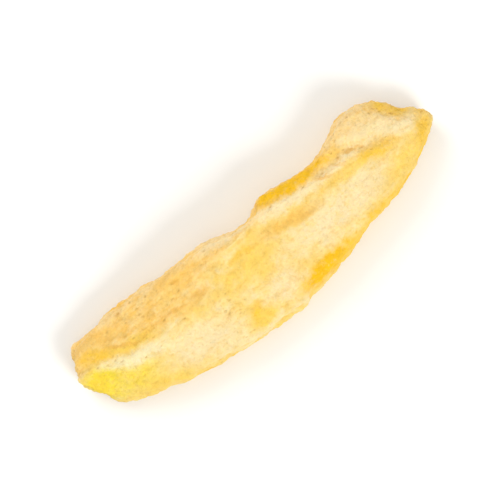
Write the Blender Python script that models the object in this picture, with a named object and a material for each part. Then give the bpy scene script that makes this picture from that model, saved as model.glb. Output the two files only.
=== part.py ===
"""A freeze-dried mango slice: one strip cut lengthwise from the cheek of the fruit.

One long edge is the outer flesh from just under the peel, so it follows the fruit's curve. The other
is the nearly straight cut beside the stone. The upper face falls to both edges from a crest that
wanders along the slice, where two strokes of the knife met.

Metres, +Z up. +X runs along the slice to its broad end, and +Y points from the peel edge to the
stone edge. The slice lies on its under face, with the origin below the middle of its box.
"""

import math

import bmesh
import bpy
from mathutils import Vector, noise

MM = 0.001

# Driving dimensions of the straight bar that the slice is shaped from, the place of its middle along
# X, and its cells along each axis. Its corners are rounded less along X, so the end cuts stay crisp.
BAR_LENGTH = 82.4 * MM
BAR_MIDDLE = 0.4 * MM
BAR_WIDTH = 20 * MM
BAR_THICKNESS = 11 * MM
BAR_CELLS = (84, 20, 9)
CORNER_RADII = (0.7 * MM, 1.5 * MM, 1.5 * MM)

# The peel edge is an arc of the fruit's lengthwise curve.
PEEL_RADIUS = 87 * MM
PEEL_LOWEST = (-2 * MM, -14.5 * MM)
STONE_EDGE = 6.5 * MM

# Swells and hollows of the two edges: (place along X, reach, height).
PEEL_SWELLS = (
    (-27 * MM, 7 * MM, -0.6 * MM),
    (-41 * MM, 5 * MM, 0.8 * MM),
    (19 * MM, 11 * MM, 0.9 * MM),
)
STONE_SWELLS = (
    (-26 * MM, 11 * MM, 1.2 * MM),
    (1 * MM, 5 * MM, -1.6 * MM),
    (20 * MM, 6 * MM, -1.0 * MM),
    (28.5 * MM, 6.5 * MM, 2.8 * MM),
)

# Chips broken out of the two edges: (place along X, rise, fade). Each slants down the wall as a step.
PEEL_CHIP = (2.4 * MM, 1.2 * MM, 7 * MM)
STONE_CHIP = (4.6 * MM, 1.3 * MM, 6 * MM)
CHIP_SLANT = 1.3 * MM
CHIP_STEP = 1.2 * MM
CHIP_UNDER = 0.4

# The ends are cut askew: how far the stone corner and the peel corner are drawn in, the place across
# the bar, from -1 to 1, that stands furthest out, and how hard the cut turns from there.
BROAD_END = (7.0 * MM, 2.0 * MM, -0.68, 1.9)
NARROW_END = (3.0 * MM, 3.4 * MM, -0.1, 1.6)
END_START = 0.3

# The walls lean in, towards the upper face and towards the under face, from their widest level.
WIDEST_LEVEL = -0.2
STONE_LEAN = 0.7 * MM
PEEL_LEAN = 1.3 * MM
UNDER_LEAN = 1.3 * MM
LEAN_CURVE = 1.6

# The crest along the upper face: (place along X, place along Y, height, fall to stone, fall to peel).
# The falls are slopes. The crest is sharp but for one faded stretch: (place along X, reach, softness).
CREST = (
    (-41 * MM, 1.8 * MM, 7.4 * MM, 0.40, 0.44),
    (-27 * MM, -2.4 * MM, 9.9 * MM, 0.34, 0.40),
    (-12 * MM, 0.6 * MM, 10.6 * MM, 0.26, 0.15),
    (2 * MM, 3.4 * MM, 10.9 * MM, 0.66, 0.11),
    (14 * MM, 2.5 * MM, 11.0 * MM, 0.80, 0.13),
    (27 * MM, 0.8 * MM, 10.4 * MM, 0.14, 0.17),
    (41 * MM, -2.6 * MM, 7.9 * MM, 0.16, 0.26),
)
CREST_ROUNDING = 0.4 * MM
CREST_FADE = (-10 * MM, 9 * MM, 2.6 * MM)
CROWN = 5.0

# One row of the bar's cells follows the crest, and runs straight again at both ends.
CREST_ROW = 0.4
CREST_ROW_ENDS = (-40 * MM, -30 * MM, 25 * MM, 35 * MM)

# Folds pressed into the upper face beside the crest: (start, end, width, depth). Their tips run out.
FOLD_TIP = (-0.15, 0.3)
FOLDS = (
    ((3.3 * MM, 0.7 * MM), (15.3 * MM, -1.3 * MM), 0.9 * MM, 0.55 * MM),
    ((22.5 * MM, 4.4 * MM), (34.5 * MM, -0.2 * MM), 1.3 * MM, 0.6 * MM),
)

# Facets that the knife left at the broad end: (start, end, slope). The upper face falls away to the
# right of each line from start to end, along a crease that is rounded a little.
FACETS = (
    ((37.9 * MM, 0.8 * MM), (30.0 * MM, 8.2 * MM), 0.75),
    ((34.6 * MM, -5.6 * MM), (38.9 * MM, 1.2 * MM), 0.35),
)
FACET_SOFTNESS = 0.3 * MM

# The under face is a clean cut: flat in the middle, with milder crags, and lifted at both ends.
END_LIFT = 1.6 * MM
REST_DEPTH = 0.22 * MM
UNDER_SMOOTHNESS = 0.45

# Crags of the dry flesh: (grain length, grain height), drawn out along the slice.
CRAGS = ((8 * MM, 0.5 * MM), (3 * MM, 0.26 * MM))
GRAIN_STRETCH = 1.9
GRAIN_OCTAVES = 3
GRAIN_SEED = Vector((3.7, 11.2, 5.9))

FLESH_COLOUR = (0.95, 0.70, 0.22, 1.0)


def clear_scene():
    for obj in list(bpy.data.objects):
        bpy.data.objects.remove(obj, do_unlink=True)


def ramp(x, start, end):
    """0 before start, 1 after end, with a smooth rise between."""
    t = min(max((x - start) / (end - start), 0.0), 1.0)
    return t * t * (3 - 2 * t)


def swell(x, centre, reach):
    """A smooth bump, 1 at its centre, that dies away over its reach."""
    return math.exp(-(((x - centre) / reach) ** 2))


def swells(x, table):
    return sum(height * swell(x, place, reach) for place, reach, height in table)


def chip(x, level, place, rise, fade):
    """A break in an edge: a steep step at its place that fades out beyond it, and is less below."""
    past = x - place - CHIP_SLANT * level
    strength = CHIP_UNDER + (1 - CHIP_UNDER) * (level + 1) / 2
    return rise * strength * ramp(past, -CHIP_STEP / 2, CHIP_STEP / 2) * math.exp(-max(past, 0) / fade)


def along_crest(x, column):
    """One column of the crest's table at x, on a smooth curve through its rows."""
    last = len(CREST) - 1
    k = next((i for i in range(last) if x < CREST[i + 1][0]), last - 1)
    rows = [CREST[min(max(k + step, 0), last)] for step in (-1, 0, 1, 2)]
    before, low, high, after = (row[column] for row in rows)
    t = min(max((x - rows[1][0]) / (rows[2][0] - rows[1][0]), 0.0), 1.0)
    leave = (high - before) / 2
    arrive = (after - low) / 2
    bend = 2 * low - 2 * high + leave + arrive
    turn = 3 * high - 3 * low - 2 * leave - arrive
    return ((bend * t + turn) * t + leave) * t + low


def peel_edge(x, level):
    """Y of the outer edge, on the fruit's curve."""
    centre, lowest = PEEL_LOWEST
    curve = lowest + (x - centre) ** 2 / (2 * PEEL_RADIUS)
    return curve + swells(x, PEEL_SWELLS) + chip(x, level, *PEEL_CHIP)


def stone_edge(x, level):
    """Y of the edge that was cut beside the stone."""
    return STONE_EDGE + swells(x, STONE_SWELLS) + chip(x, level, *STONE_CHIP)


def drawn_in(across, stone, peel, furthest, turn):
    """How far an askew end cut draws in a point, from none where the end stands furthest out."""
    if across > furthest:
        return stone * ((across - furthest) / (1 - furthest)) ** turn
    return peel * ((furthest - across) / (1 + furthest)) ** turn


def end_shift(x, across):
    """The shift along X that the two end cuts give a point. Across runs from -1, the peel edge, to 1."""
    half = BAR_LENGTH / 2
    narrow = drawn_in(across, *NARROW_END) * ramp(-x, END_START * half, half)
    broad = drawn_in(across, *BROAD_END) * ramp(x, END_START * half, half)
    return narrow - broad


def fold(x, y, start, end, width, depth):
    """Depth of a fold at a point: deepest on the line from start to end, and shallow at its tips."""
    line = Vector(end) - Vector(start)
    away = Vector((x, y)) - Vector(start)
    along = away.dot(line) / line.length_squared
    aside = (away - line * along).length
    return depth * swell(aside, 0, width) * ramp(along, *FOLD_TIP) * ramp(1 - along, *FOLD_TIP)


def facet(x, y, start, end, slope):
    """How far a facet lowers a point, which is next to nothing on the left of its line."""
    line = (Vector(end) - Vector(start)).normalized()
    away = Vector((x, y)) - Vector(start)
    beyond = away.cross(line)
    return slope * (beyond + math.sqrt(beyond * beyond + FACET_SOFTNESS * FACET_SOFTNESS)) / 2


def upper_face(x, y):
    """Height of the upper face: it falls both ways from the crest, and crowns a little."""
    crest, height, to_stone, to_peel = (along_crest(x, column) for column in (1, 2, 3, 4))
    place, reach, softness = CREST_FADE
    rounding = CREST_ROUNDING + softness * swell(x, place, reach)
    away = y - crest
    fall = math.sqrt(away * away + rounding * rounding) - rounding
    slope = to_stone if away > 0 else to_peel
    folds = sum(fold(x, y, *row) for row in FOLDS)
    facets = max(facet(x, y, *row) for row in FACETS)
    return height - slope * fall - CROWN * away * away - folds - facets


def under_face(x):
    """Height of the under face, which stays low in the middle and lifts at the ends."""
    return END_LIFT * (2 * x / BAR_LENGTH) ** 4


def lean(level):
    """How far the stone wall and the peel wall stand in at a level from -1, below, to 1, above."""
    over = max((level - WIDEST_LEVEL) / (1 - WIDEST_LEVEL), 0) ** LEAN_CURVE
    under = max((WIDEST_LEVEL - level) / (1 + WIDEST_LEVEL), 0) ** LEAN_CURVE
    return STONE_LEAN * over + UNDER_LEAN * under, PEEL_LEAN * over + UNDER_LEAN * under


def place_across(x, across, level):
    """Y of a point of the bar. One row of the upper face's cells follows the crest."""
    stone_lean, peel_lean = lean(level)
    low = peel_edge(x, level) + peel_lean
    high = stone_edge(x, level) - stone_lean
    straight = low + (high - low) * (across + 1) / 2
    crest = along_crest(x, 1)
    if across < CREST_ROW:
        bent = low + (crest - low) * (across + 1) / (CREST_ROW + 1)
    else:
        bent = crest + (high - crest) * (across - CREST_ROW) / (1 - CREST_ROW)
    narrow, narrow_middle, broad_middle, broad = CREST_ROW_ENDS
    follow = ramp(x, narrow, narrow_middle) * (1 - ramp(x, broad_middle, broad)) * (level + 1) / 2
    return straight + (bent - straight) * follow


def rounded_bar():
    """A straight bar of even cells, with its edges and corners rounded."""
    bm = bmesh.new()
    bmesh.ops.create_cube(bm, size=1)
    size = Vector((BAR_LENGTH, BAR_WIDTH, BAR_THICKNESS))
    bmesh.ops.scale(bm, vec=size, verts=bm.verts)
    for axis, cells in enumerate(BAR_CELLS):
        normal = Vector([float(axis == i) for i in range(3)])
        for cut in range(1, cells):
            everything = bm.verts[:] + bm.edges[:] + bm.faces[:]
            place = normal * size[axis] * (cut / cells - 0.5)
            bmesh.ops.bisect_plane(bm, geom=everything, plane_co=place, plane_no=normal)
    radii = Vector(CORNER_RADII)
    core = size / 2 - radii
    for vert in bm.verts:
        inner = Vector([min(max(c, -limit), limit) for c, limit in zip(vert.co, core)])
        outward = Vector([(c - held) / radius for c, held, radius in zip(vert.co, inner, radii)])
        outward.normalize()
        vert.co = inner + outward * radii
    return bm


def shape(bm):
    """Bends the bar to the fruit, cuts its ends askew and raises the crest."""
    for vert in bm.verts:
        x, y, z = vert.co
        across = 2 * y / BAR_WIDTH
        level = 2 * z / BAR_THICKNESS
        x += BAR_MIDDLE + end_shift(x, across)
        y = place_across(x, across, level)
        bottom = under_face(x)
        top = upper_face(x, y)
        vert.co = (x, y, bottom + (top - bottom) * (level + 1) / 2)


def roughen(bm):
    """Raises crags along the grain of the dry flesh, out along each point's normal."""
    bm.normal_update()
    lifts = []
    for vert in bm.verts:
        lift = 0.0
        for length, height in CRAGS:
            grain = Vector((vert.co.x / GRAIN_STRETCH, vert.co.y, vert.co.z)) / length
            lift += height * noise.fractal(grain + GRAIN_SEED, 1.0, 2.0, GRAIN_OCTAVES)
        lift *= 1 - UNDER_SMOOTHNESS * max(-vert.normal.z, 0)
        lifts.append(vert.normal * lift)
    for vert, lift in zip(bm.verts, lifts):
        vert.co += lift


def settle(bm):
    """Stands the slice on its under face and centres its box on the origin."""
    lows, highs = zip(*((min(c), max(c)) for c in zip(*(v.co for v in bm.verts))))
    middle = Vector([(low + high) / 2 for low, high in zip(lows, highs)])
    middle.z = lows[2] + REST_DEPTH
    for vert in bm.verts:
        vert.co -= middle
        vert.co.z = max(vert.co.z, 0.0)


def flesh_material():
    material = bpy.data.materials.new("mango_flesh")
    material.use_nodes = True
    shader = material.node_tree.nodes["Principled BSDF"]
    shader.inputs["Base Color"].default_value = FLESH_COLOUR
    shader.inputs["Roughness"].default_value = 0.9
    shader.inputs["Metallic"].default_value = 0.0
    return material


def mango_slice():
    bm = rounded_bar()
    shape(bm)
    roughen(bm)
    settle(bm)
    bmesh.ops.recalc_face_normals(bm, faces=bm.faces)
    mesh = bpy.data.meshes.new("mango_slice")
    bm.to_mesh(mesh)
    bm.free()
    mesh.shade_smooth()
    mesh.materials.append(flesh_material())
    return bpy.data.objects.new("mango_slice", mesh)


def main():
    clear_scene()
    collection = bpy.data.collections.new("freeze_dried_mango")
    bpy.context.scene.collection.children.link(collection)
    collection.objects.link(mango_slice())


main()
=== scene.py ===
"""A freeze-dried mango slice on a plain pale floor, seen from straight above.

Metres, +Z up. +X runs along the slice to its broad end, and +Y points from the peel edge to the
stone edge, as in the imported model.
"""

import math

import bmesh
import bpy
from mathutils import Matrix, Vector


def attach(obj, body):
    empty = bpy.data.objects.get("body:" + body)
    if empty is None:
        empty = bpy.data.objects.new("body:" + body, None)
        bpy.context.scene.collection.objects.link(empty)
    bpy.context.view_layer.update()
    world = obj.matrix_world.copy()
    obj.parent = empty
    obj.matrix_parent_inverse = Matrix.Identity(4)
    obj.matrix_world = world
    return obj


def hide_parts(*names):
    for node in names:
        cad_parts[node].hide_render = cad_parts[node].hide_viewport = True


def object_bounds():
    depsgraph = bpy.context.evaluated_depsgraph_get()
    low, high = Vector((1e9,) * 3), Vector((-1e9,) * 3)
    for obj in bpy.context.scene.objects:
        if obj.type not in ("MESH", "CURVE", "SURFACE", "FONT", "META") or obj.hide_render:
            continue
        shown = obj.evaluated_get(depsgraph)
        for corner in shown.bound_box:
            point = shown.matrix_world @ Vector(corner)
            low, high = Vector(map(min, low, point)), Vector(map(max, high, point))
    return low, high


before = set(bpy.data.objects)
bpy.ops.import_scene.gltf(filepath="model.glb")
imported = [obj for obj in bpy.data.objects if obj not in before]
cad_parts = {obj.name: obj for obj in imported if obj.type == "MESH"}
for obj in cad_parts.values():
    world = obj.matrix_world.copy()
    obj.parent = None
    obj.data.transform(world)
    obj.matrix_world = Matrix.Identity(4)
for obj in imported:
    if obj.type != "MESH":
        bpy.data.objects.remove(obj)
cad_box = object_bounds()

# The flesh: one strip of mango that was frozen and dried, so that its water left a brittle foam. The
# faces are chalky, with fibres along the slice and pits where pores were cut open, and the face that
# broke on the stone side is rougher and darker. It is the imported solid, refined and given relief.
MM = 0.001

# The relief's sizes. Fibre Stretch is how many times longer than wide the fibres are. Pitted Place and
# Pitted Width are the middle and half the length of a pitted stretch, along the slice.
FLESH_SIZES = {
    "Furrow Width": 4.0 * MM,
    "Furrow Depth": 0.36 * MM,
    "Fibre Width": 0.9 * MM,
    "Fibre Depth": 0.05 * MM,
    "Fibre Stretch": 7.0,
    "Crumb Size": 1.8 * MM,
    "Crumb Height": 0.24 * MM,
    "Pebble Size": 1.2 * MM,
    "Pebble Height": 0.14 * MM,
    "Wrinkle Width": 2.4 * MM,
    "Wrinkle Depth": 0.22 * MM,
    "Pore Spacing": 1.0 * MM,
    "Pore Depth": 0.20 * MM,
    "Dimple Spacing": 3.6 * MM,
    "Dimple Depth": 0.28 * MM,
    "Pitted Place": -9.5 * MM,
    "Pitted Width": 4.5 * MM,
    "Edge Sharpness": 0.50 * MM,
    "Chip Size": 1.4 * MM,
    "Chip Depth": 0.38 * MM,
}

# The solid's triangles are joined to quads where they bend by less than one angle and the quad's
# corners are off square by less than another. Two rounds of refinement split each quad in 16, which
# leaves edges of about 0.25 mm. Every step of a blur takes in one more ring of points.
WELD_DISTANCE = 0.001 * MM
MOST_BEND = math.radians(40)
MOST_OFF_SQUARE = math.radians(60)
REFINEMENT = 2
EASING_STEPS = 2
FACING_STEPS = 16
LEVEL_STEPS = 30
RIDGE_HEIGHT = 0.40 * MM

# Broken faces look towards the stone side, and walls look neither up nor down. Each pair is where
# they begin and where they are full, from 0 for square to that direction to 1 for straight along it.
# A wide noise frays both.
BROKEN_LOOK = (0.08, 0.26)
WALL_LOOK = (0.62, 0.40)
FRAY_WIDTH = 4 * MM
FRAY = 0.07

# The pitted stretch lies where the face looks up, on the peel side of a line along the slice. In its
# middle it counts as mostly broken.
PITTED_LOOK = (0.2, 0.6)
PITTED_ACROSS = (2.5 * MM, -1.0 * MM)
PITTED_AS_BROKEN = 0.7

# The share of pores and dimples that are open, on a cut face and on a fully broken one.
OPEN_PORES = (0.06, 0.62)
OPEN_DIMPLES = (0.10, 0.60)

# How a pattern is drawn out: each axis is scaled by this, so the pattern is longer along a small one.
# A swirl moves the pebbles and dimples about.
FURROW_SHAPE = (0.4, 1.0, 1.0)
WRINKLE_SHAPE = (1.0, 1.0, 0.25)
PIT_SHAPE = (0.6, 1.0, 1.0)
EVEN_SHAPE = (1.0, 1.0, 1.0)
SWIRL_WIDTH = 1.5 * MM
SWIRL_SHIFT = 1.6 * MM

# Nothing sinks below the floor's height. A metre down the other axes is far past the slice.
LOWEST = (-1, -1, 0)

# How deep a point lies is read over a few points and over two millimetres: the attribute's name, the
# steps of its blur, and the depth at which it is full.
DEPTHS = (("hollow", 4, 0.05 * MM), ("dip", 40, 0.35 * MM))


def add(tree, kind, inputs=None, **settings):
    """Adds a node to a tree with its settings. An input is a value or another node's output."""
    made = tree.nodes.new(kind)
    for name, value in settings.items():
        setattr(made, name, value)
    for socket, value in (inputs or {}).items():
        if isinstance(value, bpy.types.NodeSocket):
            tree.links.new(value, made.inputs[socket])
        else:
            made.inputs[socket].default_value = value
    return made


def flesh_relief():
    """A Geometry Nodes tree that refines a solid and raises the relief of dry flesh on it."""
    tree = bpy.data.node_groups.new("flesh_relief", "GeometryNodeTree")
    tree.interface.new_socket("Geometry", in_out="INPUT", socket_type="NodeSocketGeometry")
    tree.interface.new_socket("Refinement", in_out="INPUT", socket_type="NodeSocketInt")
    for name in FLESH_SIZES:
        tree.interface.new_socket(name, in_out="INPUT", socket_type="NodeSocketFloat")
    tree.interface.new_socket("Material", in_out="INPUT", socket_type="NodeSocketMaterial")
    tree.interface.new_socket("Geometry", in_out="OUTPUT", socket_type="NodeSocketGeometry")
    size = add(tree, "NodeGroupInput").outputs

    held = add(
        tree, "GeometryNodeSubdivideMesh", {"Mesh": size["Geometry"], "Level": size["Refinement"]},
    ).outputs[0]
    place = add(tree, "GeometryNodeInputPosition").outputs[0]
    normal = add(tree, "GeometryNodeInputNormal").outputs[0]
    eased = add(
        tree, "GeometryNodeBlurAttribute", {"Value": place, "Iterations": EASING_STEPS},
        data_type="FLOAT_VECTOR",
    ).outputs["Value"]
    held = add(
        tree, "GeometryNodeSetPosition", {"Geometry": held, "Position": eased},
    ).outputs["Geometry"]

    # How the surface faces over a millimetre or so, and how far each point stands out as a ridge.
    facing = add(
        tree, "GeometryNodeBlurAttribute", {"Value": normal, "Iterations": FACING_STEPS},
        data_type="FLOAT_VECTOR",
    ).outputs["Value"]
    look = add(tree, "ShaderNodeSeparateXYZ", {0: facing}).outputs
    level = add(
        tree, "GeometryNodeBlurAttribute", {"Value": place, "Iterations": LEVEL_STEPS},
        data_type="FLOAT_VECTOR",
    ).outputs["Value"]
    above = add(tree, "ShaderNodeVectorMath", {0: place, 1: level}, operation="SUBTRACT").outputs[0]
    ridge = add(
        tree, "ShaderNodeVectorMath", {0: above, 1: normal}, operation="DOT_PRODUCT",
    ).outputs["Value"]
    ridge = add(tree, "ShaderNodeMapRange", {"Value": ridge, "From Max": RIDGE_HEIGHT}).outputs[0]

    # Where the faces are broken, and where they are walls.
    fray = add(
        tree, "ShaderNodeTexNoise", {"Vector": place, "Scale": 1 / FRAY_WIDTH, "Detail": 3.0},
    ).outputs[0]
    fray = add(
        tree, "ShaderNodeMapRange",
        {"Value": fray, "From Min": 0.3, "From Max": 0.7, "To Min": -FRAY, "To Max": FRAY},
    ).outputs[0]
    upright = add(tree, "ShaderNodeMath", {0: look["Z"]}, operation="ABSOLUTE").outputs[0]
    faces = {}
    for name, value, (start, full) in (
        ("broken", look["Y"], BROKEN_LOOK),
        ("wall", upright, WALL_LOOK),
    ):
        value = add(tree, "ShaderNodeMath", {0: value, 1: fray}, operation="ADD").outputs[0]
        faces[name] = add(
            tree, "ShaderNodeMapRange", {"Value": value, "From Min": start, "From Max": full},
            interpolation_type="SMOOTHSTEP",
        ).outputs[0]

    # The share of pores that were cut open: many on the broken faces, few on the cut ones apart from
    # the pitted stretch of the upper face.
    spot = add(tree, "ShaderNodeSeparateXYZ", {0: place}).outputs
    pitted = add(
        tree, "ShaderNodeMath", {0: spot["X"], 1: size["Pitted Place"]}, operation="SUBTRACT",
    ).outputs[0]
    pitted = add(tree, "ShaderNodeMath", {0: pitted}, operation="ABSOLUTE").outputs[0]
    pitted = add(
        tree, "ShaderNodeMapRange",
        {
            "Value": pitted,
            "From Min": size["Pitted Width"],
            "From Max": 0.0,
            "To Max": PITTED_AS_BROKEN,
        },
        interpolation_type="SMOOTHSTEP",
    ).outputs[0]
    for value, (start, full) in ((spot["Y"], PITTED_ACROSS), (look["Z"], PITTED_LOOK)):
        within = add(
            tree, "ShaderNodeMapRange", {"Value": value, "From Min": start, "From Max": full},
        ).outputs[0]
        pitted = add(tree, "ShaderNodeMath", {0: pitted, 1: within}, operation="MULTIPLY").outputs[0]
    pored = add(tree, "ShaderNodeMath", {0: pitted, 1: faces["broken"]}, operation="MAXIMUM").outputs[0]
    pored = add(
        tree, "ShaderNodeMapRange", {"Value": pored, "To Min": OPEN_PORES[0], "To Max": OPEN_PORES[1]},
    ).outputs[0]
    torn = add(
        tree, "ShaderNodeMapRange",
        {"Value": faces["broken"], "To Min": OPEN_DIMPLES[0], "To Max": OPEN_DIMPLES[1]},
    ).outputs[0]

    # Furrows and fibres drawn out along the slice, an uneven crumb everywhere, and on the walls
    # wrinkles that run up and down. Each sinks further into the face than it rises from it.
    stretch = add(
        tree, "ShaderNodeMath", {0: 1.0, 1: size["Fibre Stretch"]}, operation="DIVIDE",
    ).outputs[0]
    fibre_shape = add(tree, "ShaderNodeCombineXYZ", {0: stretch, 1: 1.0, 2: 1.0}).outputs[0]
    rise = 0.0
    for shape, width, depth, detail, roughness, where in (
        (FURROW_SHAPE, "Furrow Width", "Furrow Depth", 2.0, 0.45, 1.0),
        (fibre_shape, "Fibre Width", "Fibre Depth", 2.0, 0.50, 1.0),
        (EVEN_SHAPE, "Crumb Size", "Crumb Height", 5.0, 0.68, 1.0),
        (WRINKLE_SHAPE, "Wrinkle Width", "Wrinkle Depth", 3.0, 0.50, faces["wall"]),
    ):
        drawn = add(tree, "ShaderNodeVectorMath", {0: place, 1: shape}, operation="MULTIPLY").outputs[0]
        scale = add(tree, "ShaderNodeMath", {0: 1.0, 1: size[width]}, operation="DIVIDE").outputs[0]
        wave = add(
            tree, "ShaderNodeTexNoise",
            {
                "Vector": drawn,
                "Scale": scale,
                "Detail": detail,
                "Roughness": roughness,
                "Distortion": 0.4,
            },
        ).outputs[0]
        wave = add(
            tree, "ShaderNodeMapRange",
            {"Value": wave, "From Min": 0.25, "From Max": 0.75, "To Min": -1.2, "To Max": 0.8},
        ).outputs[0]
        wave = add(tree, "ShaderNodeMath", {0: wave, 1: size[depth]}, operation="MULTIPLY").outputs[0]
        rise = add(
            tree, "ShaderNodeMath", {0: wave, 1: where, 2: rise}, operation="MULTIPLY_ADD",
        ).outputs[0]

    # Pebbles: rounded lumps that stand side by side on the broken faces, in a pattern that swirls.
    swirl = add(
        tree, "ShaderNodeTexNoise", {"Vector": place, "Scale": 1 / SWIRL_WIDTH, "Detail": 2.0},
    ).outputs[1]
    swirl = add(
        tree, "ShaderNodeVectorMath", {0: swirl, 1: (SWIRL_SHIFT,) * 3, 2: place},
        operation="MULTIPLY_ADD",
    ).outputs[0]
    scale = add(tree, "ShaderNodeMath", {0: 1.0, 1: size["Pebble Size"]}, operation="DIVIDE").outputs[0]
    pebble = add(
        tree, "ShaderNodeTexVoronoi", {"Vector": swirl, "Scale": scale, "Smoothness": 0.5},
        feature="SMOOTH_F1",
    ).outputs["Distance"]
    pebble = add(
        tree, "ShaderNodeMapRange", {"Value": pebble, "From Max": 0.7, "To Min": 0.5, "To Max": -0.5},
    ).outputs[0]
    pebble = add(
        tree, "ShaderNodeMath", {0: pebble, 1: size["Pebble Height"]}, operation="MULTIPLY",
    ).outputs[0]
    rise = add(
        tree, "ShaderNodeMath", {0: pebble, 1: faces["broken"], 2: rise}, operation="MULTIPLY_ADD",
    ).outputs[0]

    # Pores are pits that the knife cut open. Dimples, where a bundle of fibres tore out, are wider and
    # fewer, most of them on the broken faces. A cell of the pattern draws whether its pit is open and
    # how far the pit reaches, and the pit's floor is flat up to its core.
    pits = {}
    for name, pattern, share, least, most, core in (
        ("Pore", place, pored, 0.14, 0.40, 0.02),
        ("Dimple", swirl, torn, 0.16, 0.34, 0.04),
    ):
        drawn = add(
            tree, "ShaderNodeVectorMath", {0: pattern, 1: PIT_SHAPE}, operation="MULTIPLY",
        ).outputs[0]
        scale = add(
            tree, "ShaderNodeMath", {0: 1.0, 1: size[f"{name} Spacing"]}, operation="DIVIDE",
        ).outputs[0]
        cell = add(tree, "ShaderNodeTexVoronoi", {"Vector": drawn, "Scale": scale})
        draw = add(tree, "ShaderNodeSeparateXYZ", {0: cell.outputs["Color"]}).outputs
        opened = add(tree, "ShaderNodeMath", {0: draw["X"], 1: share}, operation="LESS_THAN").outputs[0]
        reach = add(
            tree, "ShaderNodeMapRange", {"Value": draw["Y"], "To Min": least, "To Max": most},
        ).outputs[0]
        pit = add(
            tree, "ShaderNodeMapRange",
            {"Value": cell.outputs["Distance"], "From Min": reach, "From Max": core},
            interpolation_type="SMOOTHSTEP",
        ).outputs[0]
        pits[name] = add(tree, "ShaderNodeMath", {0: pit, 1: opened}, operation="MULTIPLY").outputs[0]
        sink = add(
            tree, "ShaderNodeMath", {0: pits[name], 1: size[f"{name} Depth"]}, operation="MULTIPLY",
        ).outputs[0]
        rise = add(tree, "ShaderNodeMath", {0: rise, 1: sink}, operation="SUBTRACT").outputs[0]

    # The cut edges are crisp, and the brittle ridges crumble in chips.
    crisp = add(
        tree, "ShaderNodeMath", {0: ridge, 1: size["Edge Sharpness"]}, operation="MULTIPLY",
    ).outputs[0]
    rise = add(tree, "ShaderNodeMath", {0: rise, 1: crisp}, operation="ADD").outputs[0]
    scale = add(tree, "ShaderNodeMath", {0: 1.0, 1: size["Chip Size"]}, operation="DIVIDE").outputs[0]
    chip = add(tree, "ShaderNodeTexNoise", {"Vector": place, "Scale": scale, "Detail": 3.0}).outputs[0]
    chip = add(
        tree, "ShaderNodeMapRange", {"Value": chip, "From Min": 0.45, "From Max": 0.65},
    ).outputs[0]
    for share in (ridge, size["Chip Depth"]):
        chip = add(tree, "ShaderNodeMath", {0: chip, 1: share}, operation="MULTIPLY").outputs[0]
    rise = add(tree, "ShaderNodeMath", {0: rise, 1: chip}, operation="SUBTRACT").outputs[0]

    # What the material reads is kept on each point: where it lay before the relief, and its masks.
    for name, kind, value in (
        ("cut_place", "FLOAT_VECTOR", place),
        ("facing", "FLOAT_VECTOR", facing),
        ("ridge", "FLOAT", ridge),
        ("broken", "FLOAT", faces["broken"]),
        ("pored", "FLOAT", pored),
        ("dimple", "FLOAT", pits["Dimple"]),
    ):
        held = add(
            tree, "GeometryNodeStoreNamedAttribute", {"Geometry": held, "Name": name, "Value": value},
            data_type=kind, domain="POINT",
        ).outputs["Geometry"]

    # The relief is raised, and nothing reaches below the surface the slice lies on.
    shift = add(tree, "ShaderNodeVectorMath", {0: normal, "Scale": rise}, operation="SCALE").outputs[0]
    held = add(
        tree, "GeometryNodeSetPosition", {"Geometry": held, "Offset": shift},
    ).outputs["Geometry"]
    lifted = add(tree, "ShaderNodeVectorMath", {0: place, 1: LOWEST}, operation="MAXIMUM").outputs[0]
    held = add(
        tree, "GeometryNodeSetPosition", {"Geometry": held, "Position": lifted},
    ).outputs["Geometry"]

    # How deep each point lies in the finished relief.
    for name, steps, depth in DEPTHS:
        around = add(
            tree, "GeometryNodeBlurAttribute", {"Value": place, "Iterations": steps},
            data_type="FLOAT_VECTOR",
        ).outputs["Value"]
        below = add(
            tree, "ShaderNodeVectorMath", {0: around, 1: place}, operation="SUBTRACT",
        ).outputs[0]
        below = add(
            tree, "ShaderNodeVectorMath", {0: below, 1: normal}, operation="DOT_PRODUCT",
        ).outputs["Value"]
        below = add(
            tree, "ShaderNodeMapRange", {"Value": below, "From Min": -depth, "From Max": depth},
        ).outputs[0]
        held = add(
            tree, "GeometryNodeStoreNamedAttribute", {"Geometry": held, "Name": name, "Value": below},
            data_type="FLOAT", domain="POINT",
        ).outputs["Geometry"]
    held = add(tree, "GeometryNodeSetShadeSmooth", {"Geometry": held}).outputs[0]
    held = add(tree, "GeometryNodeRealizeInstances", {"Geometry": held}).outputs[0]
    held = add(
        tree, "GeometryNodeSetMaterial", {"Geometry": held, "Material": size["Material"]},
    ).outputs[0]
    add(tree, "NodeGroupOutput", {0: held})
    return tree


def linear(code):
    """An sRGB hex colour as linear red, green, blue and alpha."""
    parts = [int(code[i:i + 2], 16) / 255 for i in (1, 3, 5)]
    return tuple(c / 12.92 if c <= 0.04045 else ((c + 0.055) / 1.055) ** 2.4 for c in parts) + (1.0,)


# The material's lengths are millimetres. Its patterns are clouds, blots, specks, and streaks that
# follow the fibres: the spacing, the shape, the noise's detail and roughness, and the noise at which
# the pattern begins and is full.
PATTERNS = (
    ("cloud", 7.0, (1.0, 1.0, 1.0), 5.0, 0.65, 0.38, 0.62),
    ("blot", 3.2, (0.6, 1.0, 1.0), 4.0, 0.60, 0.48, 0.66),
    ("speck", 1.3, (0.4, 1.0, 1.0), 5.0, 0.72, 0.38, 0.62),
    ("streak", 0.7, (0.1, 1.0, 1.0), 4.0, 0.65, 0.50, 0.68),
)

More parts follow.
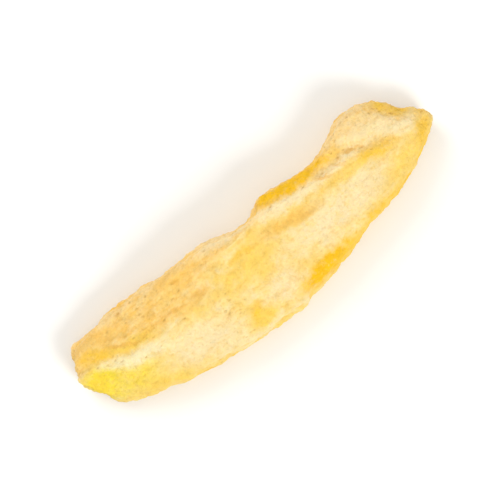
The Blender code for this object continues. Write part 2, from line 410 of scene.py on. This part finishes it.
# The kinds of face, by the axis along which they look and how far: where each begins and is full.
LOOKS = (
    ("stone_wall", "Y", 0.45, 0.75),
    ("peel_side", "Y", -0.45, -0.75),
    ("overhang", "Z", 0.25, -0.05),
    ("under", "Z", -0.4, -0.8),
    ("upper", "Z", -0.20, 0.45),
)

# Each kind of face has two colours that its pattern mixes: the cut faces, the one below, the broken
# faces, the stone side's wall, and the yellow outer flesh on the peel side's wall.
FACE_COLOURS = (
    ("cut", "cloud", "#fdd774", "#fee3a2"),
    ("under", "cloud", "#fdcf66", "#fee0a0"),
    ("broken", "speck", "#ffcc6a", "#ffdc92"),
    ("stone_wall", "blot", "#ffdb98", "#fec95e"),
    ("peel_wall", "blot", "#fdca1c", "#fedb62"),
)

# The broken faces are streaked along the fibres, the more so down the stone side's wall.
STREAK = "#e8b863"
STREAK_SHARE = (0.35, 0.60)

# What stands out is whitened, partly as dust and partly as painted highlight, and the cut edges most,
# partly as wear and partly as painted highlight. Dips get a deeper colour, which is painted shade. Each
# row holds what the mark is read from, where it begins and is full, its strength there, and its colour.
# The broken faces keep less of the whitening of what stands out.
MARKS = (
    # Paler where the surface stands out: partly dust, partly painted highlight.
    ("dust_and_painted_highlight", "dip", 0.40, 0.22, 0.35, "#ffe8b8"),
    # Painted shade: a deeper golden in the dips.
    ("painted_dip_shade", "dip", 0.46, 0.64, 0.30, "#f7c858"),
    # Paler ridges: partly wear, partly painted highlight.
    ("wear_and_painted_highlight", "ridge", 0.35, 0.85, 0.60, "#ffefc6"),
)
DUST_AND_HIGHLIGHT_ON_BROKEN = 0.4

# Dimples and the smallest hollows are shaded. A hollow's row holds where the shade begins and is full,
# and its strength there.
SHADE = "#e0a848"
HOLLOW_SHADE = (0.6, 1.0, 0.2)
DIMPLE_SHADE = 0.35

# Patches of the upper face that are paler, deeper or yellower than the rest, in the order they are
# laid: the colour, the middle along and across the slice and half the length and width, all in
# millimetres, how far the patch turns in radians, and how strong it is. Some pale patches are painted
# highlights along the crests and edges, and the crease patches are painted shade in the folds beside
# the crests.
PATCH_COLOURS = {
    # The palest colour is painted highlight, and cream is partly painted highlight too.
    "dust_and_painted_highlight": "#fff0c0",
    "cream_and_painted_highlight": "#fee7b4",
    "lemon": "#ffe244",
    "yellow": "#fed562",
    "gold": "#fdcc48",
    "amber": "#fec520",
    "tan": "#f9c866",
    # Painted shade for the creases.
    "painted_crease_shade": "#eeb552",
}
PATCHES = (
    ("lemon", -34.5, -1.6, 10.5, 5.6, -0.30, 0.78),
    ("lemon", -38.2, 0.4, 5.2, 3.6, 0.60, 1.40),
    ("gold", -38.8, 0.2, 3.0, 2.2, 0.60, 0.50),
    ("tan", -33.5, 8.0, 4.5, 1.8, -0.20, 0.80),
    ("yellow", -28.0, -7.0, 9.5, 2.6, -0.20, 1.10),
    ("cream_and_painted_highlight", -18.8, -4.8, 10.2, 4.7, -0.28, 0.92),
    ("gold", -34.9, 4.8, 6.0, 1.9, -0.45, 1.10),
    ("yellow", -28.6, 3.0, 5.8, 1.6, -0.16, 1.35),
    # Painted highlight along the crest.
    ("dust_and_painted_highlight", -34.0, 2.6, 3.8, 1.4, -0.42, 0.85),
    # Painted shade in the creases beside the crest.
    ("painted_crease_shade", -30.0, 3.9, 4.0, 0.5, -0.44, 0.85),
    ("painted_crease_shade", -24.0, 3.2, 3.2, 0.4, 0.10, 0.60),
    ("painted_crease_shade", -18.4, 2.9, 3.4, 0.5, -0.15, 0.80),
    # Painted highlight along the crest.
    ("dust_and_painted_highlight", -28.4, 0.3, 6.4, 2.0, -0.22, 1.00),
    ("tan", -16.4, 1.6, 4.0, 1.2, -0.15, 0.80),
    # Painted shade in a crease.
    ("painted_crease_shade", -13.0, 2.6, 2.6, 1.2, 0.00, 0.85),
    ("gold", -2.9, 3.1, 3.0, 1.5, 0.00, 0.85),
    ("tan", -15.6, 7.6, 6.2, 2.0, -0.10, 0.85),
    # Painted highlight along the stone side's top edge.
    ("cream_and_painted_highlight", -3.6, 7.8, 6.0, 1.4, -0.16, 0.95),
    ("yellow", -4.4, 0.1, 8.4, 3.4, 0.06, 0.85),
    ("gold", -7.5, -7.4, 2.4, 1.3, 0.95, 1.10),
    ("yellow", -6.2, -8.8, 4.2, 1.6, 0.10, 1.30),
    ("cream_and_painted_highlight", -0.4, -6.1, 4.4, 3.5, 0.30, 0.95),
    ("cream_and_painted_highlight", 16.8, -1.9, 15.5, 4.1, 0.05, 1.05),
    ("tan", 7.5, 2.4, 8.0, 1.5, -0.12, 0.72),
    # Painted highlight along the crest.
    ("cream_and_painted_highlight", 10.6, 5.7, 10.5, 1.8, -0.10, 1.20),
    # Painted highlight on the crest between the creases.
    ("cream_and_painted_highlight", 21.8, 5.5, 6.4, 1.7, -0.18, 1.05),
    ("gold", 28.8, 2.6, 6.4, 1.8, -0.20, 1.15),
    ("cream_and_painted_highlight", 29.3, 6.7, 7.0, 3.7, -0.35, 0.78),
    # Painted shade in the creases beside the crest.
    ("painted_crease_shade", 18.0, 5.0, 2.4, 0.4, -0.39, 0.75),
    ("painted_crease_shade", 22.1, 4.7, 2.0, 0.4, -0.63, 0.75),
    ("painted_crease_shade", 25.6, 5.4, 2.4, 0.4, -0.42, 0.75),
    ("yellow", 22.6, 2.8, 5.0, 1.5, -0.10, 0.80),
    ("cream_and_painted_highlight", 34.6, 3.6, 3.6, 1.8, -0.85, 0.90),
    ("yellow", 32.2, -2.4, 6.2, 3.2, 0.28, 0.90),
    # Painted light on the shaded broad end.
    ("cream_and_painted_highlight", 38.4, 3.4, 2.4, 2.2, 0.00, 1.15),
    ("amber", 9.2, -8.7, 8.8, 2.3, 0.08, 1.50),
    ("gold", 22.5, -7.6, 13.0, 2.4, 0.17, 1.40),
    ("amber", 12.0, 8.1, 12.6, 2.0, -0.11, 1.35),
    ("gold", 38.2, -0.2, 5.8, 2.2, 1.00, 1.00),
    ("gold", 36.4, 7.2, 5.8, 1.8, -0.82, 1.00),
)

# A patch fades from a little outside its outline, which is at 1, to well inside it. Its outline
# wanders and its middle is uneven. It counts as far taller than the slice, so height plays no part.
PATCH_FADE = (1.25, 0.30)
PATCH_HEIGHT = 1000.0
WANDER_WIDTH = 3.5
WANDER = 3.0
UNEVEN_WIDTH = 1.6

# Open pores are dark specks of painted shade, the same ones that the relief sinks, with finer ones
# between them. Real pores are about 0.1 mm across, too fine to show, so they are drawn at 0.3 to 0.8
# mm: the spacing, the least and most reach, the colour, how strong it is, and how deep the bump is.
PORES = (
    (FLESH_SIZES["Pore Spacing"] / MM, 0.12, 0.34, "#bd8a3c", 0.34, 0.08),
    (0.5, 0.20, 0.45, "#d2a24a", 0.26, 0.06),
)
PORE_CORE = 0.05
RAGGED_WIDTH = 0.5
RAGGED = 0.5

# The chalky surface is lighter and darker from spot to spot and from grain to grain. Real grains are
# 0.1 mm, too fine to show, so they are drawn at 0.5 mm: the spacing, the noise's detail, and how
# bright the darkest are.
SPECKLES = ((2.6, 5.0, 0.89), (0.5, 3.0, 0.93))

# The foam's open cells, then grain and fibres, are all too fine for the mesh. Real cells are under
# 0.1 mm, so they are drawn at 0.4 mm. A grain's row holds its spacing, shape and height.
FOAM_CELL = 0.4
FOAM_HEIGHT = 0.14
GRAINS = ((0.45, (0.8, 1.0, 1.0), 0.28), (0.5, (0.12, 1.0, 1.0), 0.07))


def dried_flesh():
    """Freeze-dried mango flesh, whose open foam scatters light.

    It is chalky and matt, pale where it was cut, tan where it broke, and yellow near the peel.
    """
    material = bpy.data.materials.new("freeze_dried_mango_flesh")
    material.use_nodes = True
    tree = material.node_tree
    shader = tree.nodes["Principled BSDF"]
    place = add(tree, "ShaderNodeAttribute", attribute_name="cut_place").outputs["Vector"]
    place = add(tree, "ShaderNodeVectorMath", {0: place, "Scale": 1 / MM}, operation="SCALE").outputs[0]
    facing = add(tree, "ShaderNodeAttribute", attribute_name="facing").outputs["Vector"]
    look = add(tree, "ShaderNodeSeparateXYZ", {0: facing}).outputs
    kept = {
        name: add(tree, "ShaderNodeAttribute", attribute_name=name).outputs["Fac"]
        for name in ("broken", "pored", "dimple", "ridge", "hollow", "dip")
    }

    patterns = {}
    for name, spacing, shape, detail, roughness, start, full in PATTERNS:
        drawn = add(tree, "ShaderNodeVectorMath", {0: place, 1: shape}, operation="MULTIPLY").outputs[0]
        wave = add(
            tree, "ShaderNodeTexNoise",
            {"Vector": drawn, "Scale": 1 / spacing, "Detail": detail, "Roughness": roughness},
        ).outputs[0]
        patterns[name] = add(
            tree, "ShaderNodeMapRange", {"Value": wave, "From Min": start, "From Max": full},
        ).outputs[0]

    faces = {"broken": kept["broken"]}
    for name, axis, start, full in LOOKS:
        faces[name] = add(
            tree, "ShaderNodeMapRange", {"Value": look[axis], "From Min": start, "From Max": full},
        ).outputs[0]
    faces["peel_wall"] = add(
        tree, "ShaderNodeMath", {0: faces["peel_side"], 1: faces["overhang"]}, operation="MULTIPLY",
    ).outputs[0]
    colour = None
    for face, pattern, first, second in FACE_COLOURS:
        pair = add(
            tree, "ShaderNodeMix", {0: patterns[pattern], 6: linear(first), 7: linear(second)},
            data_type="RGBA",
        ).outputs[2]
        if face in faces:
            pair = add(
                tree, "ShaderNodeMix", {0: faces[face], 6: colour, 7: pair}, data_type="RGBA",
            ).outputs[2]
        colour = pair

    streaked = add(
        tree, "ShaderNodeMapRange",
        {"Value": faces["stone_wall"], "To Min": STREAK_SHARE[0], "To Max": STREAK_SHARE[1]},
    ).outputs[0]
    for share in (faces["broken"], patterns["streak"]):
        streaked = add(tree, "ShaderNodeMath", {0: streaked, 1: share}, operation="MULTIPLY").outputs[0]
    colour = add(
        tree, "ShaderNodeMix", {0: streaked, 6: colour, 7: linear(STREAK)}, data_type="RGBA",
    ).outputs[2]

    # The relief marks are laid on: dust and painted highlight where the surface stands out, painted
    # shade in the dips, and wear and painted highlight on the ridges.
    spared = add(
        tree, "ShaderNodeMapRange", {"Value": faces["broken"], "To Min": 1.0, "To Max": DUST_AND_HIGHLIGHT_ON_BROKEN},
    ).outputs[0]
    shares = {"dust_and_painted_highlight": spared, "wear_and_painted_highlight": patterns["speck"]}
    for name, source, start, full, strength, tint in MARKS:
        marked = add(
            tree, "ShaderNodeMapRange",
            {"Value": kept[source], "From Min": start, "From Max": full, "To Max": strength},
        ).outputs[0]
        if name in shares:
            marked = add(
                tree, "ShaderNodeMath", {0: marked, 1: shares[name]}, operation="MULTIPLY",
            ).outputs[0]
        colour = add(
            tree, "ShaderNodeMix", {0: marked, 6: colour, 7: linear(tint)}, data_type="RGBA",
        ).outputs[2]

    # The patches lie on faces that look up. A noise is 0.5 on average, so half the wander is taken off.
    wander = add(
        tree, "ShaderNodeTexNoise",
        {"Vector": place, "Scale": 1 / WANDER_WIDTH, "Detail": 6.0, "Roughness": 0.72},
    ).outputs[1]
    wander = add(
        tree, "ShaderNodeVectorMath", {0: wander, 1: (WANDER, WANDER, 0.0), 2: place},
        operation="MULTIPLY_ADD",
    ).outputs[0]
    uneven = add(
        tree, "ShaderNodeTexNoise",
        {"Vector": place, "Scale": 1 / UNEVEN_WIDTH, "Detail": 6.0, "Roughness": 0.75},
    ).outputs[0]
    uneven = add(
        tree, "ShaderNodeMapRange",
        {"Value": uneven, "From Min": 0.36, "From Max": 0.60, "To Min": 0.45},
    ).outputs[0]
    uneven = add(
        tree, "ShaderNodeMath", {0: uneven, 1: faces["upper"]}, operation="MULTIPLY",
    ).outputs[0]
    for tint, x, y, half_length, half_width, turn, strength in PATCHES:
        spread = add(
            tree, "ShaderNodeMapping",
            {
                "Vector": wander,
                "Location": (x + WANDER / 2, y + WANDER / 2, 0),
                "Rotation": (0, 0, turn),
                "Scale": (half_length, half_width, PATCH_HEIGHT),
            },
            vector_type="TEXTURE",
        ).outputs[0]
        spread = add(tree, "ShaderNodeVectorMath", {0: spread}, operation="LENGTH").outputs["Value"]
        spread = add(
            tree, "ShaderNodeMapRange",
            {"Value": spread, "From Min": PATCH_FADE[0], "From Max": PATCH_FADE[1], "To Max": strength},
            interpolation_type="SMOOTHSTEP",
        ).outputs[0]
        spread = add(tree, "ShaderNodeMath", {0: spread, 1: uneven}, operation="MULTIPLY").outputs[0]
        colour = add(
            tree, "ShaderNodeMix", {0: spread, 6: colour, 7: linear(PATCH_COLOURS[tint])},
            data_type="RGBA",
        ).outputs[2]

    start, full, strength = HOLLOW_SHADE
    shaded = add(
        tree, "ShaderNodeMapRange",
        {"Value": kept["hollow"], "From Min": start, "From Max": full, "To Max": strength},
    ).outputs[0]
    shaded = add(
        tree, "ShaderNodeMath", {0: kept["dimple"], 1: DIMPLE_SHADE, 2: shaded},
        operation="MULTIPLY_ADD",
    ).outputs[0]
    colour = add(
        tree, "ShaderNodeMix", {0: shaded, 6: colour, 7: linear(SHADE)}, data_type="RGBA",
    ).outputs[2]

    # The pores' outlines are ragged.
    ragged = add(
        tree, "ShaderNodeTexNoise", {"Vector": place, "Scale": 1 / RAGGED_WIDTH, "Detail": 2.0},
    ).outputs[1]
    ragged = add(
        tree, "ShaderNodeVectorMath", {0: ragged, 1: (RAGGED,) * 3, 2: place}, operation="MULTIPLY_ADD",
    ).outputs[0]
    ragged = add(
        tree, "ShaderNodeVectorMath", {0: ragged, 1: (RAGGED / 2,) * 3}, operation="SUBTRACT",
    ).outputs[0]
    ragged = add(
        tree, "ShaderNodeVectorMath", {0: ragged, 1: PIT_SHAPE}, operation="MULTIPLY",
    ).outputs[0]
    height = 0.0
    for spacing, least, most, tint, strength, sink in PORES:
        cell = add(tree, "ShaderNodeTexVoronoi", {"Vector": ragged, "Scale": 1 / spacing})
        draw = add(tree, "ShaderNodeSeparateXYZ", {0: cell.outputs["Color"]}).outputs
        opened = add(
            tree, "ShaderNodeMath", {0: draw["X"], 1: kept["pored"]}, operation="LESS_THAN",
        ).outputs[0]
        reach = add(
            tree, "ShaderNodeMapRange", {"Value": draw["Y"], "To Min": least, "To Max": most},
        ).outputs[0]
        pit = add(
            tree, "ShaderNodeMapRange",
            {"Value": cell.outputs["Distance"], "From Min": reach, "From Max": PORE_CORE},
        ).outputs[0]
        pit = add(tree, "ShaderNodeMath", {0: pit, 1: opened}, operation="MULTIPLY").outputs[0]
        height = add(
            tree, "ShaderNodeMath", {0: pit, 1: -sink, 2: height}, operation="MULTIPLY_ADD",
        ).outputs[0]
        # The open pores are darkened with painted shade.
        pit = add(tree, "ShaderNodeMath", {0: pit, 1: strength}, operation="MULTIPLY").outputs[0]
        colour = add(
            tree, "ShaderNodeMix", {0: pit, 6: colour, 7: linear(tint)}, data_type="RGBA",
        ).outputs[2]

    for spacing, detail, darkest in SPECKLES:
        speckle = add(
            tree, "ShaderNodeTexNoise",
            {"Vector": place, "Scale": 1 / spacing, "Detail": detail, "Roughness": 0.8},
        ).outputs[0]
        speckle = add(
            tree, "ShaderNodeMapRange",
            {"Value": speckle, "From Min": 0.35, "From Max": 0.6, "To Min": darkest, "To Max": 1.0},
        ).outputs[0]
        colour = add(
            tree, "ShaderNodeMix", {0: 1.0, 6: colour, 7: speckle}, data_type="RGBA",
            blend_type="MULTIPLY",
        ).outputs[2]
    tree.links.new(colour, shader.inputs["Base Color"])

    # A dry foam hardly shines, and light goes a little way into it, red the furthest.
    for name, value in (
        ("Roughness", 0.92),
        ("IOR", 1.45),
        ("Specular IOR Level", 0.12),
        ("Sheen Weight", 0.04),
        ("Sheen Roughness", 0.6),
        ("Subsurface Weight", 0.1),
        ("Subsurface Radius", (1.0, 0.6, 0.25)),
        ("Subsurface Scale", 0.4 * MM),
    ):
        shader.inputs[name].default_value = value

    cell = add(
        tree, "ShaderNodeTexVoronoi", {"Vector": ragged, "Scale": 1 / FOAM_CELL},
    ).outputs["Distance"]
    height = add(
        tree, "ShaderNodeMath", {0: cell, 1: FOAM_HEIGHT, 2: height}, operation="MULTIPLY_ADD",
    ).outputs[0]
    for spacing, shape, raised in GRAINS:
        drawn = add(tree, "ShaderNodeVectorMath", {0: place, 1: shape}, operation="MULTIPLY").outputs[0]
        grain = add(
            tree, "ShaderNodeTexNoise",
            {"Vector": drawn, "Scale": 1 / spacing, "Detail": 4.0, "Roughness": 0.7},
        ).outputs[0]
        height = add(
            tree, "ShaderNodeMath", {0: grain, 1: raised, 2: height}, operation="MULTIPLY_ADD",
        ).outputs[0]
    bump = add(tree, "ShaderNodeBump", {"Height": height, "Strength": 1.0, "Distance": MM})
    tree.links.new(bump.outputs[0], shader.inputs["Normal"])
    return material


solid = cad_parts["mango_slice"]
cage = bmesh.new()
cage.from_mesh(solid.data)
bmesh.ops.remove_doubles(cage, verts=cage.verts, dist=WELD_DISTANCE)
bmesh.ops.join_triangles(
    cage, faces=cage.faces, angle_face_threshold=MOST_BEND, angle_shape_threshold=MOST_OFF_SQUARE,
)
mesh = bpy.data.meshes.new("flesh_cage")
cage.to_mesh(mesh)
cage.free()
block = bpy.data.objects.new("flesh_block", mesh)
bpy.context.scene.collection.objects.link(block)

relief = block.modifiers.new("relief", "NODES")
relief.node_group = flesh_relief()
sockets = {
    item.name: item.identifier
    for item in relief.node_group.interface.items_tree
    if item.in_out == "INPUT"
}
relief[sockets["Refinement"]] = REFINEMENT
for name, value in FLESH_SIZES.items():
    relief[sockets[name]] = value
relief[sockets["Material"]] = dried_flesh()
graph = bpy.context.evaluated_depsgraph_get()
finished = bpy.data.meshes.new_from_object(block.evaluated_get(graph))
flesh = bpy.data.objects.new("dried_flesh", finished)
bpy.context.scene.collection.objects.link(flesh)
bpy.data.objects.remove(block)
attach(flesh, "root")
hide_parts("mango_slice")

# The floor: a plain pale sheet of matt board, which is wide enough to fill the view from any side.
# Its coating is smooth but doesn't shine, so the eye sees an even near-white.
FLOOR_SIDE = 3.0
BOARD_COLOUR = "#f6f5f2"
BOARD_ROUGHNESS = 0.9
floor_mesh = bpy.data.meshes.new("floor")
floor_shape = bmesh.new()
bmesh.ops.create_grid(floor_shape, x_segments=1, y_segments=1, size=FLOOR_SIDE / 2)
floor_shape.to_mesh(floor_mesh)
floor_shape.free()
floor = bpy.data.objects.new("floor", floor_mesh)
bpy.context.scene.collection.objects.link(floor)
board = bpy.data.materials.new("matt_white_board")
board.use_nodes = True
coating = board.node_tree.nodes["Principled BSDF"].inputs
coating["Base Color"].default_value = linear(BOARD_COLOUR)
coating["Roughness"].default_value = BOARD_ROUGHNESS
floor_mesh.materials.append(board)

# The light: a soft box low on the peel side, a larger one on the stone side, a wide and weak one
# overhead, and a white room around them.
ROOM_STRENGTH = 0.62
world = bpy.data.worlds.new("white_room")
bpy.context.scene.world = world
world.use_nodes = True
room = world.node_tree.nodes["Background"].inputs
room["Color"].default_value = (1, 1, 1, 1)
room["Strength"].default_value = ROOM_STRENGTH


def soft_box(name, place, side, power):
    """A square area light at a place, aimed at the slice."""
    data = bpy.data.lights.new(name, "AREA")
    data.shape = "SQUARE"
    data.size = side
    data.energy = power
    lamp = bpy.data.objects.new(name, data)
    lamp.location = place
    lamp.rotation_mode = "QUATERNION"
    lamp.rotation_quaternion = (-Vector(place)).to_track_quat("-Z", "Y")
    bpy.context.scene.collection.objects.link(lamp)


soft_box("key_light", place=(0.05, -0.58, 0.50), side=0.30, power=3.1)
soft_box("fill_light", place=(-0.10, 0.60, 0.50), side=0.50, power=2.75)
soft_box("top_light", place=(0.0, 0.1, 1.0), side=0.9, power=0.75)

# The camera looks straight down, turned so that the slice runs up to the right as in the photograph.
# The photograph's crop that it frames is 260 pixels a side, at 0.355 mm a pixel.
PIXEL = 0.355 * MM
CROP_SIDE = 260 * PIXEL
CROP_CENTRE = (-0.88 * MM, 2.82 * MM)
CAMERA_HEIGHT = 0.60
SLICE_TURN = math.radians(39)
SENSOR = 36.0
camera_data = bpy.data.cameras.new("camera")
camera_data.sensor_width = SENSOR
camera_data.lens = SENSOR * CAMERA_HEIGHT / CROP_SIDE
camera = bpy.data.objects.new("camera", camera_data)
camera.location = (*CROP_CENTRE, CAMERA_HEIGHT + cad_box[1].z)
camera.rotation_euler = (0, 0, -SLICE_TURN)
bpy.context.scene.collection.objects.link(camera)
bpy.context.scene.camera = camera

# The photograph's colours are plain sRGB, so they are shown without a film curve.
bpy.context.scene.view_settings.view_transform = "Standard"
